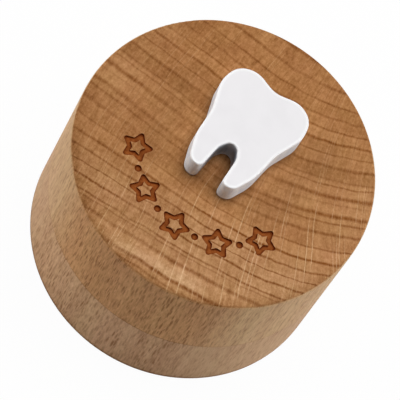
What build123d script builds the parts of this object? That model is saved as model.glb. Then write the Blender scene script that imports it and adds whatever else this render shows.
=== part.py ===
from build123d import *
import os

# A small round keepsake box for milk teeth, turned from one rod of beech.
# The lower cup carries a spigot, the deep lid drops over it, and magnets in the
# two rims hold it shut. A white tooth stands on the lid above an engraved band.
# Millimetres, +Z up, origin at the centre of the foot, +Y towards the tooth's crown.

# Turned body
box_radius = 27.5
base_height = 17.5
lid_height = 19.1
foot_rounding = 1.6
top_rounding = 0.5
seam_arris = 0.1

# Hollow inside
floor_thickness = 4.5
roof_thickness = 6.0
bore_corner = 2.0

# Spigot on the cup and its socket in the lid
spigot_wall = 2.5
spigot_height = 4.0
spigot_lead_in = 0.5
spigot_clearance = 0.1
socket_headroom = 0.4

# Magnets in the rims, in pairs that meet at the seam
magnet_radius = 2.0
magnet_thickness = 2.0
magnet_arris = 0.15
magnet_clearance = 0.05
magnet_recess = 0.1
magnet_pairs = 3
pocket_wall = 1.1

# Tooth on the lid
tooth_height = 21.5
tooth_thickness = 4.8
tooth_edge_rounding = 0.25
tooth_tips_below_centre = 6.4
tooth_left_of_centre = 0.25
pad_thickness = 0.4
pad_inset = 0.9

# Right half of the tooth's outline, from the notch between the cusps over the cheek,
# the neck and the root tip to the fork: each corner's distance from the tooth's
# middle, its height above the tips and its rounding, as shares of the tooth's height.
tooth_corner_shares = [
    (0.0, 0.95, 0.23),
    (0.21, 1.015, 0.21),
    (0.372, 0.952, 0.175),
    (0.414, 0.758, 0.28),
    (0.321, 0.484, 0.37),
    (0.3, 0.214, 0.465),
    (0.219, 0.0, 0.09),
    (0.105, 0.0, 0.05),
    (0.088, 0.251, 0.14),
    (0.0, 0.414, 0.065),
]

# Engraved band of stars and dots, round the lower half of the lid
band_radius = 15.8
star_count = 5
star_pitch = 29.5
star_point_radius = 2.4
star_notch_radius = 1.3
star_points = 5
stroke_width = 0.9
dot_radius = 0.65
engraving_depth = 0.35

# One overrun for every cut that opens into free space
overrun = 1.0

# The rims are just wide enough for the magnets, and the spigot and the bore lie within them
pocket_radius = magnet_radius + magnet_clearance
pocket_depth = magnet_thickness + magnet_recess
magnet_circle = box_radius - pocket_wall - pocket_radius
socket_radius = magnet_circle - pocket_radius - pocket_wall
spigot_radius = socket_radius - spigot_clearance
bore_radius = spigot_radius - spigot_wall
spigot_top = base_height + spigot_height
socket_roof = spigot_top + socket_headroom
lid_top = base_height + lid_height
hollow_roof = lid_top - roof_thickness
tooth_seat = lid_top + pad_thickness


def rounded_corner(face, corner, radius):
    """The face with the vertex at that corner rounded."""
    return fillet(face.vertices().sort_by_distance(corner)[0], radius)


def turned(profile):
    """The solid that a profile of (radius, height) makes when it turns about the box's axis."""
    return revolve(Plane.XZ * profile, Axis.Z)


def magnet_place(pair, height):
    """Where the axis of a pair of magnets crosses a level, the first pair below the tooth."""
    return Pos(0, 0, height) * Rot(0, 0, -90 + pair * 360 / magnet_pairs) * Pos(magnet_circle, 0, 0)


def disc(radius, thickness):
    """A disc standing on its location."""
    return Cylinder(radius, thickness, align=(Align.CENTER, Align.CENTER, Align.MIN))


def make_base_cup():
    """The lower cup, with a spigot above its rim and a pocket for each magnet."""
    profile = make_face(
        Polyline(
            (0, 0),
            (box_radius, 0),
            (box_radius, base_height),
            (spigot_radius, base_height),
            (spigot_radius, spigot_top),
            (bore_radius, spigot_top),
            (bore_radius, floor_thickness),
            (0, floor_thickness),
            close=True,
        )
    )
    profile = rounded_corner(profile, (box_radius, 0), foot_rounding)
    profile = rounded_corner(profile, (box_radius, base_height), seam_arris)
    profile = rounded_corner(profile, (spigot_radius, spigot_top), spigot_lead_in)
    profile = rounded_corner(profile, (bore_radius, spigot_top), spigot_lead_in)
    profile = rounded_corner(profile, (bore_radius, floor_thickness), bore_corner)
    cup = turned(profile)
    for pair in range(magnet_pairs):
        cup -= magnet_place(pair, base_height - pocket_depth) * disc(pocket_radius, pocket_depth + overrun)
    return cup


def make_lid():
    """The deep lid: socket, hollow and magnet pockets below, engraved band on top."""
    profile = make_face(
        Polyline(
            (socket_radius, base_height),
            (box_radius, base_height),
            (box_radius, lid_top),
            (0, lid_top),
            (0, hollow_roof),
            (bore_radius, hollow_roof),
            (bore_radius, socket_roof),
            (socket_radius, socket_roof),
            close=True,
        )
    )
    profile = rounded_corner(profile, (box_radius, lid_top), top_rounding)
    profile = rounded_corner(profile, (box_radius, base_height), seam_arris)
    profile = rounded_corner(profile, (socket_radius, base_height), spigot_lead_in)
    profile = rounded_corner(profile, (bore_radius, hollow_roof), bore_corner)
    lid = turned(profile)
    for pair in range(magnet_pairs):
        lid -= magnet_place(pair, base_height - overrun) * disc(pocket_radius, pocket_depth + overrun)
    return lid - engraved_band()


def star_outline():
    """A five-pointed star drawn in one stroke, with its first point towards -X."""
    corners = []
    for step in range(2 * star_points):
        radius = star_notch_radius if step % 2 else star_point_radius
        corner = Vector(-radius, 0).rotate(Axis.Z, step * 180.0 / star_points)
        corners.append((corner.X, corner.Y))
    star = make_face(Polyline(*corners, close=True))
    outer = offset(star, stroke_width / 2, kind=Kind.ARC)
    inner = offset(star, -stroke_width / 2, kind=Kind.ARC)
    return outer - inner


def engraved_band():
    """The cutter for the band: stars at an even pitch, their tops inwards, with a dot between each two."""
    strokes = []
    for step in range(2 * star_count - 1):
        angle = -90.0 + (step - star_count + 1) * star_pitch / 2
        motif = Circle(dot_radius) if step % 2 else star_outline()
        strokes.append(Rot(0, 0, angle) * Pos(band_radius, 0, 0) * motif)
    floor = lid_top - engraving_depth
    return [extrude(Pos(0, 0, floor) * stroke, engraving_depth + overrun) for stroke in strokes]


def tooth_face():
    """The tooth's outline as one face at its place on the lid."""
    right = [
        (tooth_height * across, tooth_height * up, tooth_height * rounding)
        for across, up, rounding in tooth_corner_shares
    ]
    left = [(-across, up, rounding) for across, up, rounding in reversed(right[1:-1])]
    corners = right + left
    points = [(across, up) for across, up, rounding in corners]
    radii = [rounding for across, up, rounding in corners]
    face = make_face(FilletPolyline(*points, radius=radii, close=True))
    return Pos(-tooth_left_of_centre, -tooth_tips_below_centre) * face


def make_tooth():
    """The white tooth, with its upper edge eased."""
    tooth = extrude(Pos(0, 0, tooth_seat) * tooth_face(), tooth_thickness)
    upper_edges = tooth.faces().sort_by(Axis.Z)[-1].edges()
    return fillet(upper_edges, tooth_edge_rounding)


def make_pad():
    """The adhesive pad between the tooth and the lid, set in from the tooth's edge."""
    outline = offset(tooth_face(), -pad_inset, kind=Kind.ARC)
    return extrude(Pos(0, 0, lid_top) * outline, pad_thickness)


def make_magnet(pair, seat):
    """One disc magnet at its seat in a rim."""
    magnet = disc(magnet_radius, magnet_thickness)
    magnet = chamfer(magnet.edges().filter_by(GeomType.CIRCLE), magnet_arris)
    return magnet_place(pair, seat) * magnet


def make_parts():
    """Every piece of the box, by the name of its node."""
    parts = {
        "base_cup": make_base_cup(),
        "lid": make_lid(),
        "tooth_emblem": make_tooth(),
        "emblem_adhesive_pad": make_pad(),
    }
    for pair in range(magnet_pairs):
        parts[f"base_magnet_{pair + 1}"] = make_magnet(pair, base_height - pocket_depth)
        parts[f"lid_magnet_{pair + 1}"] = make_magnet(pair, base_height + magnet_recess)
    return parts


os.makedirs("parts", exist_ok=True)
for name, piece in make_parts().items():
    export_step(piece, f"parts/{name}.step")
    print(name, "volume", round(piece.volume, 2), "solids", len(piece.solids()))
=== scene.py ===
# Round beech box for milk teeth: white tooth and an engraved band on a deep lift-off lid.
# Metres, Z up, the tooth's crown towards +Y, same frame as the solids.
import math
from functools import partial

import bpy
from mathutils import Matrix, Vector


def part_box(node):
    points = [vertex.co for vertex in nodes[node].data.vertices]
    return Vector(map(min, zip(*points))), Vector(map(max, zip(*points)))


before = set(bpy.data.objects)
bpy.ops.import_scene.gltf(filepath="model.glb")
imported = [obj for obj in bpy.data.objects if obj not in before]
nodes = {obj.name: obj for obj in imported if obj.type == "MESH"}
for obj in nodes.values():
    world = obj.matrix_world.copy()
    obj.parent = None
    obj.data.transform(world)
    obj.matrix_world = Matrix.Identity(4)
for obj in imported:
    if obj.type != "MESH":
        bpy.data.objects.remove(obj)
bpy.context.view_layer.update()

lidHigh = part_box("lid")[1]
bodyRadius = lidHigh.x
lidTop = lidHigh.z
perMetre = 1000.0       # millimetres in a metre
print("frame loaded:", len(nodes), "solids, body radius", round(bodyRadius * perMetre, 2), "mm")


# small helpers for node trees

nodeGrid = {"perRow": 14, "stepX": 190, "stepY": 240}
screenCurve = {"full": 255, "toe": 0.04045, "toeSlope": 12.92, "lift": 0.055, "power": 2.4}


def addNode(tree, kind, **settings):
    # nodes are laid out in rows as they are made
    node = tree.nodes.new(kind)
    row, column = divmod(len(tree.nodes) - 1, nodeGrid["perRow"])
    node.location = (column * nodeGrid["stepX"], -row * nodeGrid["stepY"])
    for name, value in settings.items():
        setattr(node, name, value)
    return node


def feed(tree, socket, value):
    # a socket takes either another socket or a plain value
    if isinstance(value, bpy.types.NodeSocket):
        tree.links.new(value, socket)
    else:
        socket.default_value = value


def doMath(tree, operation, *values):
    node = addNode(tree, "ShaderNodeMath", operation=operation)
    for socket, value in zip(node.inputs, values):
        feed(tree, socket, value)
    return node.outputs[0]


def combine(tree, operation, first, *others):
    # one operation over any number of values, in turn
    for value in others:
        first = doMath(tree, operation, first, value)
    return first


def centred(tree, value, gain):
    # noise turned into a swing about zero
    return doMath(tree, "MULTIPLY", doMath(tree, "SUBTRACT", value, 0.5), gain)


def fade(tree, value, start, end, atStart=0.0, atEnd=1.0):
    # smooth step between two places
    node = addNode(tree, "ShaderNodeMapRange", interpolation_type="SMOOTHSTEP")
    for socket, item in zip(node.inputs, (value, start, end, atStart, atEnd)):
        feed(tree, socket, item)
    return node.outputs[0]


def mixColors(tree, mask, first, second, blend="MIX"):
    node = addNode(tree, "ShaderNodeMix", data_type="RGBA", blend_type=blend)
    feed(tree, node.inputs["Factor"], mask)
    feed(tree, node.inputs["A"], first)
    feed(tree, node.inputs["B"], second)
    return node.outputs["Result"]


def noise(tree, vector, scale, detail, roughness=0.5, which="Fac"):
    node = addNode(tree, "ShaderNodeTexNoise")
    feed(tree, node.inputs["Vector"], vector)
    node.inputs["Scale"].default_value = scale
    node.inputs["Detail"].default_value = detail
    node.inputs["Roughness"].default_value = roughness
    return node.outputs[which]


def joinAxes(tree, first, second, third):
    node = addNode(tree, "ShaderNodeCombineXYZ")
    for socket, item in zip(node.inputs, (first, second, third)):
        feed(tree, socket, item)
    return node.outputs[0]


def splitAxes(tree, vector):
    node = addNode(tree, "ShaderNodeSeparateXYZ")
    feed(tree, node.inputs[0], vector)
    return node.outputs


def randomOf(tree, first, second=0.0):
    # three steady random numbers for one or two whole numbers
    node = addNode(tree, "ShaderNodeTexWhiteNoise", noise_dimensions="2D")
    feed(tree, node.inputs["Vector"], joinAxes(tree, first, second, 0.0))
    return splitAxes(tree, node.outputs["Color"])


def newGroup(name, inputs, outputs):
    group = bpy.data.node_groups.new(name, "ShaderNodeTree")
    for label, kind, default in inputs:
        socket = group.interface.new_socket(name=label, in_out="INPUT", socket_type=kind)
        socket.default_value = default
    for label, kind in outputs:
        group.interface.new_socket(name=label, in_out="OUTPUT", socket_type=kind)
    given = addNode(group, "NodeGroupInput").outputs
    out = addNode(group, "NodeGroupOutput").inputs
    return group, given, out


def rgb(red, green, blue):
    # colour as picked on screen, 0 to 255, turned linear
    def linear(value):
        share = value / screenCurve["full"]
        if share <= screenCurve["toe"]:
            return share / screenCurve["toeSlope"]
        return ((share + screenCurve["lift"]) / (1 + screenCurve["lift"])) ** screenCurve["power"]
    return (linear(red), linear(green), linear(blue), 1.0)


# beech, as one solid figure that both bodies are cut from
# a fade is (start, end) or (start, end, value at start, value at end)
# a noise is (scale, detail, roughness), a range is (spread, least) for a random number from 0 to 1
# u and v are X and Y in body radii, front is towards -Y

rings = {
    "perRadius": 9.52,
    "centre": -0.07,        # where the rings are widest apart, along Y
    "waveSize": 0.478,      # one slow wave squeezes and stretches the even pitch
    "wavePitch": 5.98,
    "bendStart": -0.05,     # right of here the rings swing up
    "bend": 0.35,
    "front": (-0.1, -0.7),
    "frontBend": 0.18,
    "frontTilt": 0.12,
    "tiltFrom": 0.6,        # left of the middle
    "spread": 0.1,          # rings stand this much farther apart per radius on the right
    "warp": 1.4,            # mm, slow wander
    "warpNoise": (0.045, 2.0, 0.55),
    "ripple": 0.7,          # mm, small wobble
    "rippleNoise": (0.33, 2.0, 0.6),
    "squeeze": 0.15,        # the figure is this much slower along the rod
}


def ringPlace(group, radius, px, py, pz):
    calc = partial(doMath, group)
    stretched = joinAxes(group, px, py, calc("MULTIPLY", pz, rings["squeeze"]))
    wander = splitAxes(group, noise(group, stretched, *rings["warpNoise"], which="Color"))
    wobble = noise(group, stretched, *rings["rippleNoise"])
    movedX = calc("ADD", px, centred(group, wander[0], rings["warp"]))
    movedY = calc("ADD", py, centred(group, wander[1], rings["warp"]))
    movedY = calc("ADD", movedY, centred(group, wobble, rings["ripple"]))
    u = calc("DIVIDE", movedX, radius)
    v = calc("DIVIDE", movedY, radius)
    # flat on the left, swinging up on the right, tilted near the front edge
    front = fade(group, v, *rings["front"])
    rise = calc("MAXIMUM", calc("SUBTRACT", u, rings["bendStart"]), 0.0)
    bend = calc("MULTIPLY_ADD", front, rings["frontBend"] - rings["bend"], rings["bend"])
    tilt = calc("MULTIPLY", front, rings["frontTilt"])
    curve = combine(group, "MULTIPLY", rise, rise, bend)
    lean = calc("MULTIPLY", tilt, calc("ADD", u, rings["tiltFrom"]))
    along = combine(group, "SUBTRACT", v, curve, lean)
    along = calc("MULTIPLY", along, calc("MULTIPLY_ADD", rise, -rings["spread"], 1.0))
    slope = calc("MULTIPLY_ADD", rise, calc("MULTIPLY", bend, 2.0), tilt)
    across = calc("MULTIPLY_ADD", slope, v, u)
    return {"stretched": stretched, "u": u, "v": v, "along": along, "across": across}


# widths are shares of a ring
ringLines = {
    "halfWidth": (0.14, 0.105),
    "strength": (0.5, 0.5),
    "patchNoise": (0.09, 2.0, 0.5),
    "patches": (0.32, 0.62, 0.55, 1.0),
    "companionOff": (0.18, 0.26),   # a fainter line follows some of them
    "companionWidth": 0.1,
    "companionShown": (0.7, 1.0, 0.0, 0.75),
    "paleWidth": 0.5,               # the wood beside a line is a little paler
}


def ringMarks(group, place):
    calc = partial(doMath, group)
    fromCentre = calc("SUBTRACT", place["along"], rings["centre"])
    swing = calc("MULTIPLY", fromCentre, rings["wavePitch"])
    even = calc("MULTIPLY", fromCentre, rings["perRadius"])
    count = calc("MULTIPLY_ADD", calc("SINE", swing), -rings["waveSize"], even)
    lineAt = calc("ROUND", count)
    own = randomOf(group, lineAt)
    fromLine = calc("SUBTRACT", count, lineAt)
    off = calc("ABSOLUTE", fromLine)
    reach = calc("MULTIPLY_ADD", own[1], *ringLines["halfWidth"])
    # every line keeps its own strength, and fades in and out along its way
    strength = calc("MULTIPLY_ADD", own[0], *ringLines["strength"])
    patchy = fade(group, noise(group, place["stretched"], *ringLines["patchNoise"]), *ringLines["patches"])
    line = combine(group, "MULTIPLY", fade(group, off, 0.0, reach, 1.0, 0.0), strength, patchy)
    second = calc("ABSOLUTE", calc("ADD", fromLine, calc("MULTIPLY_ADD", own[1], *ringLines["companionOff"])))
    second = fade(group, second, 0.0, ringLines["companionWidth"], 1.0, 0.0)
    second = calc("MULTIPLY", second, fade(group, own[2], *ringLines["companionShown"]))
    return {
        "line": calc("MAXIMUM", line, second),
        "beside": calc("SUBTRACT", fade(group, off, reach, ringLines["paleWidth"], 1.0, 0.0), line),
        "openness": calc("COSINE", swing),
        "ringTone": randomOf(group, calc("FLOOR", count))[0],
    }


# wood rays: thin pale sheets that stand across the rings
rays = {
    "spacing": 0.62,        # mm
    "length": 18.0,         # mm, of which the ends fade away
    "halfWidth": 0.12,      # mm
    "shift": 7.0,           # neighbours don't start side by side
    "place": (0.5, 0.25),   # shares of the spacing
    "leftOut": (-0.35, -0.6, 0.45, 0.2),    # fewer are left out in front
    "start": (0.0, 0.3),
    "end": (0.65, 1.0, 1.0, 0.0),
    "towardsRight": 0.6,
    "towardsFront": 0.8,
    "shown": (-0.1, 0.55, 0.3, 1.0),        # clearest at the front right
}


def rayMarks(group, place):
    calc = partial(doMath, group)
    radius = place["radius"]
    column = calc("MULTIPLY", place["across"], calc("DIVIDE", radius, rays["spacing"]))
    columnAt = calc("FLOOR", column)
    shift = calc("MULTIPLY", randomOf(group, columnAt)[0], rays["shift"])
    step = calc("MULTIPLY_ADD", place["along"], calc("DIVIDE", radius, rays["length"]), shift)
    own = randomOf(group, columnAt, calc("FLOOR", step))
    middle = calc("MULTIPLY_ADD", own[1], *rays["place"])
    off = calc("ABSOLUTE", calc("SUBTRACT", calc("FRACT", column), middle))
    way = calc("FRACT", step)
    clearest = calc("MULTIPLY", place["v"], -rays["towardsFront"])
    clearest = calc("MULTIPLY_ADD", place["u"], rays["towardsRight"], clearest)
    return combine(
        group,
        "MULTIPLY",
        fade(group, off, 0.0, rays["halfWidth"] / rays["spacing"], 1.0, 0.0),
        fade(group, own[0], fade(group, place["v"], *rays["leftOut"]), 1.0),
        fade(group, way, *rays["start"]),
        fade(group, way, *rays["end"]),
        fade(group, clearest, *rays["shown"]),
    )


# the same rays cut through on the turned side: short dark spindles
flecks = {
    "across": 0.29,         # mm
    "along": 1.1,
    "tall": 3.3,
    "size": (0.4, 0.32),
    "core": 0.35,           # share of the size that is fully dark
    "strength": (0.7, 0.3),
}


def fleckMarks(group, place):
    calc = partial(doMath, group)
    radius = place["radius"]
    cells = addNode(group, "ShaderNodeTexVoronoi", voronoi_dimensions="3D", feature="F1")
    cells.inputs["Scale"].default_value = 1.0
    point = joinAxes(
        group,
        calc("MULTIPLY", place["across"], calc("DIVIDE", radius, flecks["across"])),
        calc("MULTIPLY", place["along"], calc("DIVIDE", radius, flecks["along"])),
        calc("DIVIDE", place["pz"], flecks["tall"]),
    )
    feed(group, cells.inputs["Vector"], point)
    own = splitAxes(group, cells.outputs["Color"])
    size = calc("MULTIPLY_ADD", own[0], *flecks["size"])
    fleck = fade(group, cells.outputs["Distance"], calc("MULTIPLY", size, flecks["core"]), size, 1.0, 0.0)
    return calc("MULTIPLY", fleck, calc("MULTIPLY_ADD", own[1], *flecks["strength"]))


# noises per mm, and how much slower some of them run in one direction
grainNoise = {
    "streak": (1.9, 3.0, 0.75),
    "pore": (2.2, 3.0, 0.8),
    "fibre": (2.9, 3.0, 0.7),
    "vessel": (2.4, 2.0, 0.6),
    "broad": (0.7, 2.0, 0.6),
    "blotch": (0.11, 2.0, 0.5),
    "patch": (0.4, 2.0, 0.6),
    "hue": (0.22, 2.0, 0.5),
}
drawnOut = {"streak": 0.2, "fibre": 0.16, "vessel": 0.14, "broad": 0.04}


def grainMarks(group, place):
    calc = partial(doMath, group)
    px, py, pz, radius = (place[name] for name in ("px", "py", "pz", "radius"))
    acrossMm = calc("MULTIPLY", place["across"], radius)
    alongMm = calc("MULTIPLY", place["along"], radius)
    points = {
        "streak": joinAxes(group, acrossMm, calc("MULTIPLY", alongMm, drawnOut["streak"]), pz),
        "pore": place["board"],
    }
    for name in ("fibre", "vessel", "broad"):
        points[name] = joinAxes(group, px, py, calc("MULTIPLY", pz, drawnOut[name]))
    for name in ("blotch", "patch", "hue"):
        points[name] = place["stretched"]
    return {name: noise(group, point, *grainNoise[name]) for name, point in points.items()}


def woodPlace(group, given):
    # the point in millimetres, and the same point in the board that the piece was cut from
    calc = partial(doMath, group)
    coords = addNode(group, "ShaderNodeTexCoord")
    inMm = addNode(group, "ShaderNodeVectorMath", operation="SCALE")
    feed(group, inMm.inputs[0], coords.outputs["Object"])
    inMm.inputs["Scale"].default_value = perMetre
    x, y, height = splitAxes(group, inMm.outputs[0])
    fromAxis = addNode(group, "ShaderNodeVectorMath", operation="LENGTH")
    feed(group, fromAxis.inputs[0], joinAxes(group, x, y, 0.0))
    board = addNode(group, "ShaderNodeVectorMath", operation="ADD")
    feed(group, board.inputs[0], inMm.outputs[0])
    feed(group, board.inputs[1], given["Board"])
    px, py, pz = splitAxes(group, board.outputs[0])
    place = ringPlace(group, given["Radius"], px, py, pz)
    place.update({
        "radius": given["Radius"],
        "height": height,
        "outwards": calc("DIVIDE", fromAxis.outputs["Value"], given["Radius"]),
        "facing": calc("ABSOLUTE", splitAxes(group, coords.outputs["Normal"])[2]),
        "board": board.outputs[0],
        "px": px,
        "py": py,
        "pz": pz,
    })
    return place


endGrain = {
    "lineBreaks": (0.34, 0.6, 1.0, 0.75),   # rays break the ring lines up
    "frontLean": 0.15,                      # the front is turned a little to the right
    "frontLines": (0.2, 0.6, 0.8, 1.35),
    "rightLines": (0.3, 0.7, 0.8, 1.15),
    "backLines": (0.35, 0.65, 0.8, 1.15),
    "ground": 0.1,
    "besideLine": -0.12,
    "openRings": -0.05,                     # crowded rings are darker
    "frontPale": (0.25, 0.6, 0.0, 0.25),
    "bandStart": (0.81, 0.88, 0.0, 0.3),    # a short pale band in front of the engraving
    "bandEnd": (0.9, 0.94, 1.0, 0.0),
    "bandMiddle": 0.05,
    "bandSides": (0.2, 0.45, 1.0, 0.0),
    "sidesPale": (0.6, 0.9, 0.0, 0.08),
    "rayPale": 0.8,
    "swings": {"streak": 0.9, "pore": 1.0, "ringTone": 0.2, "patch": 0.3},
    "towardsRight": 0.075,
    "rim": (0.9, 1.0),
    "paintedRimShade": (0.3, -0.9, 0.05, 0.28),    # painted shade on the rim, growing from the back to the front
}


def ringTint(group, given, place, marks, grain, front):
    calc = partial(doMath, group)
    broken = calc("MULTIPLY", marks["line"], fade(group, grain["streak"], *endGrain["lineBreaks"]))
    gain = combine(
        group,
        "MAXIMUM",
        fade(group, front, *endGrain["frontLines"]),
        fade(group, place["u"], *endGrain["rightLines"]),
        fade(group, place["v"], *endGrain["backLines"]),
    )
    tint = calc("MULTIPLY_ADD", broken, gain, endGrain["ground"])
    tint = calc("MULTIPLY_ADD", marks["beside"], endGrain["besideLine"], tint)
    tint = calc("MULTIPLY_ADD", marks["openness"], endGrain["openRings"], tint)
    tint = calc("MAXIMUM", tint, 0.0)
    return calc("MINIMUM", calc("MULTIPLY", tint, given["Ring Contrast"]), 1.0)


def endGrainColor(group, given, place, marks, tint, front):
    calc = partial(doMath, group)
    mix = partial(mixColors, group)
    fromMiddle = calc("ABSOLUTE", calc("SUBTRACT", place["u"], endGrain["bandMiddle"]))
    band = combine(
        group,
        "MULTIPLY",
        fade(group, front, *endGrain["bandStart"]),
        fade(group, front, *endGrain["bandEnd"]),
        fade(group, fromMiddle, *endGrain["bandSides"]),
    )
    sides = fade(group, calc("ABSOLUTE", place["u"]), *endGrain["sidesPale"])
    pale = combine(group, "ADD", fade(group, front, *endGrain["frontPale"]), band, sides)
    color = mix(pale, given["End Color"], given["End Pale"])
    color = mix(tint, color, given["End Line"])
    return mix(calc("MULTIPLY", marks["ray"], endGrain["rayPale"]), color, given["End Pale"])


def endGrainTone(group, place, marks, grain):
    calc = partial(doMath, group)
    found = dict(grain, ringTone=marks["ringTone"])
    swings = [centred(group, found[name], gain) for name, gain in endGrain["swings"].items()]
    tone = calc("MULTIPLY_ADD", place["u"], endGrain["towardsRight"], combine(group, "ADD", *swings))
    # painted shade along the outer rim of the top, strongest at the front
    rim = fade(group, place["outwards"], *endGrain["rim"])
    return calc("SUBTRACT", tone, calc("MULTIPLY", rim, fade(group, place["v"], *endGrain["paintedRimShade"])))


longGrain = {
    "quarterCut": (0.4, 0.8),       # where the rings stand square to the turned face, it is paler
    "ringVein": 0.14,
    "vessels": (0.5, 0.72),
    "vesselVein": 0.42,
    "quarterFleck": (-0.7, 1.0),    # change at the quarter cut, and gain elsewhere
    "quarterFibre": (-0.25, 0.75),
    "broad": 0.25,
}


def longGrainColor(group, given, marks, grain, tint, quarterCut):
    calc = partial(doMath, group)
    mix = partial(mixColors, group)
    vessel = fade(group, grain["vessel"], *longGrain["vessels"])
    veins = calc("MULTIPLY", vessel, longGrain["vesselVein"])
    veins = calc("MULTIPLY_ADD", tint, longGrain["ringVein"], veins)
    fleckGain = calc("MULTIPLY_ADD", quarterCut, *longGrain["quarterFleck"])
    fleck = combine(group, "MULTIPLY", marks["fleck"], given["Fleck Contrast"], fleckGain)
    color = mix(quarterCut, given["Side Color"], given["Side Pale"])
    color = mix(veins, color, given["Side Fleck"])
    return mix(fleck, color, given["Side Fleck"])


def longGrainTone(group, grain, quarterCut):
    fibreGain = doMath(group, "MULTIPLY_ADD", quarterCut, *longGrain["quarterFibre"])
    return doMath(
        group,
        "ADD",
        centred(group, grain["fibre"], fibreGain),
        centred(group, grain["broad"], longGrain["broad"]),
    )


bothGrains = {
    "endFaces": (0.5, 0.85),            # end grain where the surface looks up or down
    "blotch": 0.26,
    "foot": (1.35, 2.35, 1.0, 0.0),     # mm above the table; painted shade, darker towards the foot where the table shades it
    "hue": 0.12,
    "greenPower": 1.3,                  # darker wood is also warmer
    "bluePower": 1.8,
    "roughness": (0.16, 0.5),
    "fleckDent": -0.25,
    "fibreDent": 0.5,
    "poreDent": 0.3,
}


lidBeech = {
    "Board": (0.0, 0.0, 0.0),
    "End Color": rgb(174, 121, 74),
    "End Line": rgb(122, 67, 20),
    "End Pale": rgb(214, 172, 128),
    "Side Color": rgb(199, 147, 98),
    "Side Pale": rgb(201, 163, 121),
    "Side Fleck": rgb(114, 64, 16),
    "Ring Contrast": 0.9,
    "Fleck Contrast": 0.7,
    "Foot Painted Shade": 0.0,
    "Lean": 0.0,                    # change of tone towards the right, per radius
}

baseBeech = dict(lidBeech, **{
    "Board": (3.1, -2.3, 41.0),     # cut from another place in the board, mm
    "Side Color": rgb(204, 161, 121),
    "Side Pale": rgb(197, 158, 121),
    "Side Fleck": rgb(134, 86, 42),
    "Fleck Contrast": 0.75,
    "Foot Painted Shade": 0.5,
    "Lean": 0.02,
})

beechColors = ("End Color", "End Line", "End Pale", "Side Color", "Side Pale", "Side Fleck")
beechGains = ("Ring Contrast", "Fleck Contrast", "Foot Painted Shade", "Lean")


def makeBeechFigure():
    group, given, out = newGroup(
        "beechFigure",
        [
            ("Radius", "NodeSocketFloat", bodyRadius * perMetre),
            ("Board", "NodeSocketVector", lidBeech["Board"]),
            *((label, "NodeSocketColor", lidBeech[label]) for label in beechColors),
            *((label, "NodeSocketFloat", lidBeech[label]) for label in beechGains),
        ],
        [("Color", "NodeSocketColor"), ("Roughness", "NodeSocketFloat"), ("Height", "NodeSocketFloat")],
    )
    calc = partial(doMath, group)
    place = woodPlace(group, given)
    u, v = place["u"], place["v"]
    marks = ringMarks(group, place)
    marks["ray"] = rayMarks(group, place)
    marks["fleck"] = fleckMarks(group, place)
    grain = grainMarks(group, place)

    endMask = fade(group, place["facing"], *bothGrains["endFaces"])
    quarterCut = fade(group, calc("ABSOLUTE", u), *longGrain["quarterCut"])
    front = calc("MULTIPLY_ADD", u, endGrain["frontLean"], calc("MULTIPLY", v, -1.0))
    tint = ringTint(group, given, place, marks, grain, front)
    endColor = endGrainColor(group, given, place, marks, tint, front)
    sideColor = longGrainColor(group, given, marks, grain, tint, quarterCut)
    wood = mixColors(group, endMask, sideColor, endColor)

    toneMix = addNode(group, "ShaderNodeMix", data_type="FLOAT")
    feed(group, toneMix.inputs["Factor"], endMask)
    feed(group, toneMix.inputs["A"], longGrainTone(group, grain, quarterCut))
    feed(group, toneMix.inputs["B"], endGrainTone(group, place, marks, grain))
    blotch = centred(group, grain["blotch"], bothGrains["blotch"])
    tone = combine(group, "ADD", toneMix.outputs["Result"], 1.0, blotch)
    tone = calc("MULTIPLY_ADD", u, given["Lean"], tone)
    # painted shade near the foot, where the table shades the turned-under edge
    foot = calc("MULTIPLY", fade(group, place["height"], *bothGrains["foot"]), given["Foot Painted Shade"])
    tone = calc("MULTIPLY", tone, calc("SUBTRACT", 1.0, foot))
    hue = calc("ADD", centred(group, grain["hue"], bothGrains["hue"]), 1.0)
    green = calc("MULTIPLY", calc("POWER", tone, bothGrains["greenPower"]), hue)
    blue = calc("POWER", tone, bothGrains["bluePower"])
    feed(group, out["Color"], mixColors(group, 1.0, wood, joinAxes(group, tone, green, blue), "MULTIPLY"))

    feed(group, out["Roughness"], calc("MULTIPLY_ADD", grain["fibre"], *bothGrains["roughness"]))
    dents = calc("MULTIPLY", grain["fibre"], bothGrains["fibreDent"])
    dents = calc("MULTIPLY_ADD", marks["fleck"], bothGrains["fleckDent"], dents)
    feed(group, out["Height"], calc("MULTIPLY_ADD", grain["pore"], bothGrains["poreDent"], dents))
    return group


beechFigure = makeBeechFigure()
print("beech figure ready")


beechFinish = {"specular": 0.05, "bumpStrength": 0.35, "bumpDepth": 0.00006}

engraving = {
    "floor": rgb(159, 88, 39),
    "wall": rgb(108, 42, 6),
    "reach": 0.85,                  # of the body radius
    "sunk": (0.00002, 0.00008),     # metres below the top
    "deepest": 0.001,
    "edge": 0.0006,                 # metres from a wall over which the floor is darker
    "edgeSamples": 8,
    "edgeClear": (0.62, 0.93),
    "flatFaces": (0.3, 0.9),
    "sootNoise": (2600.0, 2.0),
    "soot": (0.4, 0.8, 0.0, 0.5),
    "rougher": 0.2,
}


def newMaterial(name):
    material = bpy.data.materials.new(name)
    material.use_nodes = True
    tree = material.node_tree
    tree.nodes.clear()
    output = addNode(tree, "ShaderNodeOutputMaterial")
    shader = addNode(tree, "ShaderNodeBsdfPrincipled")
    tree.links.new(shader.outputs["BSDF"], output.inputs["Surface"])
    return material, tree, shader


def addBump(tree, shader, height, strength, depth):
    bump = addNode(tree, "ShaderNodeBump")
    bump.inputs["Strength"].default_value = strength
    bump.inputs["Distance"].default_value = depth
    feed(tree, bump.inputs["Height"], height)
    feed(tree, shader.inputs["Normal"], bump.outputs["Normal"])


def nearness(tree, reach, samples, inside=False):
    # how open the surface is within reach: 1 in the open
    node = addNode(tree, "ShaderNodeAmbientOcclusion", samples=samples, inside=inside, only_local=True)
    node.inputs["Distance"].default_value = reach
    return node.outputs["AO"]


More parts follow.
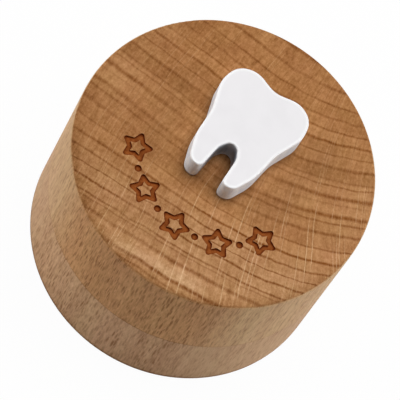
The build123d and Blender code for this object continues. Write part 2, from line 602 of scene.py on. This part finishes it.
def engravedMask(tree, coords):
    # cut below the top, inside the band's reach
    calc = partial(doMath, tree)
    x, y, z = splitAxes(tree, coords.outputs["Object"])
    fromAxis = calc("SQRT", calc("ADD", calc("MULTIPLY", x, x), calc("MULTIPLY", y, y)))
    return combine(
        tree,
        "MULTIPLY",
        calc("LESS_THAN", fromAxis, bodyRadius * engraving["reach"]),
        fade(tree, z, *(lidTop - depth for depth in engraving["sunk"])),
        calc("GREATER_THAN", z, lidTop - engraving["deepest"]),
    )


def makeBeech(name, values, engraved=False):
    material, tree, shader = newMaterial(name)
    figure = addNode(tree, "ShaderNodeGroup", node_tree=beechFigure)
    for label, value in values.items():
        figure.inputs[label].default_value = value
    color = figure.outputs["Color"]
    rough = figure.outputs["Roughness"]
    if engraved:
        coords = addNode(tree, "ShaderNodeTexCoord")
        burnt = engravedMask(tree, coords)
        upright = doMath(tree, "ABSOLUTE", splitAxes(tree, coords.outputs["Normal"])[2])
        edge = nearness(tree, engraving["edge"], engraving["edgeSamples"])
        clear = fade(tree, edge, *engraving["edgeClear"])
        flat = doMath(tree, "MULTIPLY", fade(tree, upright, *engraving["flatFaces"]), clear)
        char = mixColors(tree, flat, engraving["wall"], engraving["floor"])
        soot = noise(tree, coords.outputs["Object"], *engraving["sootNoise"])
        char = mixColors(tree, fade(tree, soot, *engraving["soot"]), char, engraving["wall"])
        color = mixColors(tree, burnt, color, char)
        rough = doMath(tree, "MULTIPLY_ADD", burnt, engraving["rougher"], rough)
    feed(tree, shader.inputs["Base Color"], color)
    feed(tree, shader.inputs["Roughness"], rough)
    shader.inputs["Specular IOR Level"].default_value = beechFinish["specular"]
    addBump(tree, shader, figure.outputs["Height"], beechFinish["bumpStrength"], beechFinish["bumpDepth"])
    return material


# lengths in metres
toothPaint = {
    "color": rgb(237, 235, 237),
    "cloud": rgb(234, 232, 234),
    "cloudNoise": (220.0, 3.0),
    "clouds": (0.35, 0.75),
    "sawnPaintedLight": rgb(244, 251, 255),     # rougher on the sawn sides, where the blade's marks run straight up; painted light makes these sides paler and bluer than the face, against the dim warm light from the wood
    "sawnGrain": rgb(221, 231, 242),
    "sawnFaces": (0.05, 0.5, 1.0, 0.0),
    "bladeNoise": (2100.0, 3.0),
    "bladeDrawn": 0.22,
    "bladeMarks": (0.35, 0.65),
    "edge": rgb(254, 254, 254),     # painted highlight along the edges
    "edgeReach": 0.0009,
    "edges": (0.6, 0.95, 1.0, 0.0),
    "paintedShadeColor": rgb(74, 79, 92),        # painted shade in the fork and at the foot
    "forkReach": 0.006,
    "fork": (0.4, 0.85, 0.9, 0.0),
    "footHeight": 0.0004,
    "footThin": 0.8,
    "samples": 12,
    "roughness": (0.3, 0.7, 0.37, 0.5),
    "bumpStrength": 0.12,
    "bumpDepth": 0.00004,
}


def makeToothPaint():
    material, tree, shader = newMaterial("toothPaint")
    calc = partial(doMath, tree)
    coords = addNode(tree, "ShaderNodeTexCoord")
    x, y, height = splitAxes(tree, coords.outputs["Object"])
    facing = calc("ABSOLUTE", splitAxes(tree, coords.outputs["Normal"])[2])
    cloud = noise(tree, coords.outputs["Object"], *toothPaint["cloudNoise"])
    drawn = joinAxes(tree, x, y, calc("MULTIPLY", height, toothPaint["bladeDrawn"]))
    blade = noise(tree, drawn, *toothPaint["bladeNoise"])
    color = mixColors(tree, fade(tree, cloud, *toothPaint["clouds"]), toothPaint["color"], toothPaint["cloud"])
    marks = fade(tree, blade, *toothPaint["bladeMarks"])
    # painted light: the sawn sides are paler and bluer than the face, to offset the warm light thrown up from
    # the wood
    sawnPaintedLight = mixColors(tree, marks, toothPaint["sawnPaintedLight"], toothPaint["sawnGrain"])
    color = mixColors(tree, fade(tree, facing, *toothPaint["sawnFaces"]), color, sawnPaintedLight)
    # painted highlight: the paint is brighter near the edges
    edge = nearness(tree, toothPaint["edgeReach"], toothPaint["samples"], inside=True)
    color = mixColors(tree, fade(tree, edge, *toothPaint["edges"]), color, toothPaint["edge"])
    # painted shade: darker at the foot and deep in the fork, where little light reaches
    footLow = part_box("tooth_emblem")[0].z
    foot = fade(tree, height, footLow, footLow + toothPaint["footHeight"], toothPaint["footThin"], 0.0)
    fork = fade(tree, nearness(tree, toothPaint["forkReach"], toothPaint["samples"]), *toothPaint["fork"])
    color = mixColors(tree, calc("MAXIMUM", fork, foot), color, toothPaint["paintedShadeColor"])
    feed(tree, shader.inputs["Base Color"], color)
    feed(tree, shader.inputs["Roughness"], fade(tree, blade, *toothPaint["roughness"]))
    addBump(tree, shader, blade, toothPaint["bumpStrength"], toothPaint["bumpDepth"])
    return material


nickel = {
    "dark": rgb(196, 193, 186),
    "bright": rgb(222, 219, 212),
    "brushNoise": (3500.0, 2.0),
    "roughness": (0.3, 0.7, 0.16, 0.3),
}


def makeNickel():
    material, tree, shader = newMaterial("nickelPlate")
    coords = addNode(tree, "ShaderNodeTexCoord")
    brushed = noise(tree, coords.outputs["Object"], *nickel["brushNoise"])
    feed(tree, shader.inputs["Base Color"], mixColors(tree, brushed, nickel["dark"], nickel["bright"]))
    feed(tree, shader.inputs["Roughness"], fade(tree, brushed, *nickel["roughness"]))
    shader.inputs["Metallic"].default_value = 1.0
    return material


foam = {
    "dark": rgb(58, 50, 44),
    "light": rgb(84, 74, 66),
    "cellNoise": (4200.0, 2.0),
    "roughness": 0.85,
    "bumpStrength": 0.3,
    "bumpDepth": 0.00005,
}


def makeFoam():
    material, tree, shader = newMaterial("adhesiveFoam")
    coords = addNode(tree, "ShaderNodeTexCoord")
    cells = noise(tree, coords.outputs["Object"], *foam["cellNoise"])
    feed(tree, shader.inputs["Base Color"], mixColors(tree, cells, foam["dark"], foam["light"]))
    shader.inputs["Roughness"].default_value = foam["roughness"]
    addBump(tree, shader, cells, foam["bumpStrength"], foam["bumpDepth"])
    return material


def dress(node, material):
    node.data.materials.clear()
    node.data.materials.append(material)


dress(nodes["lid"], makeBeech("lidBeech", lidBeech, engraved=True))
dress(nodes["base_cup"], makeBeech("baseBeech", baseBeech))
dress(nodes["tooth_emblem"], makeToothPaint())
dress(nodes["emblem_adhesive_pad"], makeFoam())
nickelPlate = makeNickel()
for name, node in nodes.items():
    if "magnet" in name:
        dress(node, nickelPlate)
print("materials on", len(nodes), "solids")


# white table, soft light from both sides

table = {
    "size": 3.0,
    "thickness": 0.02,
    "rim": 0.004,
    "rimSteps": 3,
    "color": rgb(240, 240, 240),
    "roughness": 0.7,
    "glow": 0.97,
}


def seenDirectly(tree):
    # the camera and mirror-like surfaces, but not the light that the table throws back
    path = addNode(tree, "ShaderNodeLightPath")
    kinds = ("Is Glossy Ray", "Is Transmission Ray", "Is Camera Ray")
    return combine(tree, "MAXIMUM", *(path.outputs[kind] for kind in kinds))


def makeTable():
    bpy.ops.object.select_all(action="DESELECT")
    bpy.ops.mesh.primitive_cube_add(size=1, location=(0, 0, -table["thickness"] / 2))
    top = bpy.context.object
    top.name = "table"
    top.scale = (table["size"], table["size"], table["thickness"])
    bpy.ops.object.transform_apply(location=True, rotation=True, scale=True)
    bevel = top.modifiers.new("rim", "BEVEL")
    bevel.width = table["rim"]
    bevel.segments = table["rimSteps"]
    bpy.ops.object.modifier_apply(modifier=bevel.name)
    # seen directly the table is almost white paper, and it still takes shadow
    material, tree, shader = newMaterial("tableWhite")
    shader.inputs["Base Color"].default_value = table["color"]
    shader.inputs["Roughness"].default_value = table["roughness"]
    glow = addNode(tree, "ShaderNodeEmission")
    blend = addNode(tree, "ShaderNodeMixShader")
    feed(tree, blend.inputs[0], doMath(tree, "MULTIPLY", seenDirectly(tree), table["glow"]))
    tree.links.new(shader.outputs["BSDF"], blend.inputs[1])
    tree.links.new(glow.outputs["Emission"], blend.inputs[2])
    tree.links.new(blend.outputs[0], tree.nodes["Material Output"].inputs["Surface"])
    dress(top, material)


makeTable()

# degrees, metres and watts
lights = {
    "left": {"azimuth": -88, "elevation": 22, "distance": 0.75, "size": 0.5, "power": 3.3},
    "right": {"azimuth": 114, "elevation": 22, "distance": 0.75, "size": 0.5, "power": 2.75},
    "top": {"azimuth": 175, "elevation": 77, "distance": 0.8, "size": 0.5, "power": 3.3},
}


def aimAt(azimuth, elevation):
    # azimuth 0 is the front, and it grows towards the right
    a, e = math.radians(azimuth), math.radians(elevation)
    return Vector((math.sin(a) * math.cos(e), -math.cos(a) * math.cos(e), math.sin(e)))


for name, lamp in lights.items():
    data = bpy.data.lights.new(name + "Softbox", "AREA")
    data.shape = "SQUARE"
    data.size = lamp["size"]
    data.energy = lamp["power"]
    box = bpy.data.objects.new(name + "Softbox", data)
    bpy.context.scene.collection.objects.link(box)
    direction = aimAt(lamp["azimuth"], lamp["elevation"])
    box.location = direction * lamp["distance"] + Vector((0, 0, lidTop / 2))
    box.rotation_euler = direction.to_track_quat("Z", "Y").to_euler()

studio = {"fill": 0.11, "seen": 1.0}
world = bpy.data.worlds.new("studio")
bpy.context.scene.world = world
world.use_nodes = True
sky = world.node_tree.nodes["Background"]
sky.inputs["Color"].default_value = (1, 1, 1, 1)
seen = fade(world.node_tree, seenDirectly(world.node_tree), 0.0, 1.0, studio["fill"], studio["seen"])
feed(world.node_tree, sky.inputs["Strength"], seen)
print("table and", len(lights), "softboxes placed")

# long lens, turned about its own axis
view = {
    "lens": 321.7,
    "sensor": 36.0,
    "azimuth": 5.6,
    "elevation": 62.95,
    "roll": 32.15,
    "distance": 23.885,     # in body radii, as are the two shifts
    "across": 0.1643,
    "up": 0.2666,
}
cameraData = bpy.data.cameras.new("camera")
cameraData.lens = view["lens"]
cameraData.sensor_width = view["sensor"]
camera = bpy.data.objects.new("camera", cameraData)
bpy.context.scene.collection.objects.link(camera)
turn = (
    Matrix.Rotation(math.radians(view["azimuth"]), 4, "Z")
    @ Matrix.Rotation(math.radians(90 - view["elevation"]), 4, "X")
    @ Matrix.Rotation(math.radians(view["roll"]), 4, "Z")
)
offset = Vector((view["across"], view["up"], view["distance"])) * bodyRadius
camera.matrix_world = Matrix.Translation(turn @ offset) @ turn
bpy.context.scene.camera = camera

bpy.context.scene.view_settings.view_transform = "Standard"
print("scene ready")
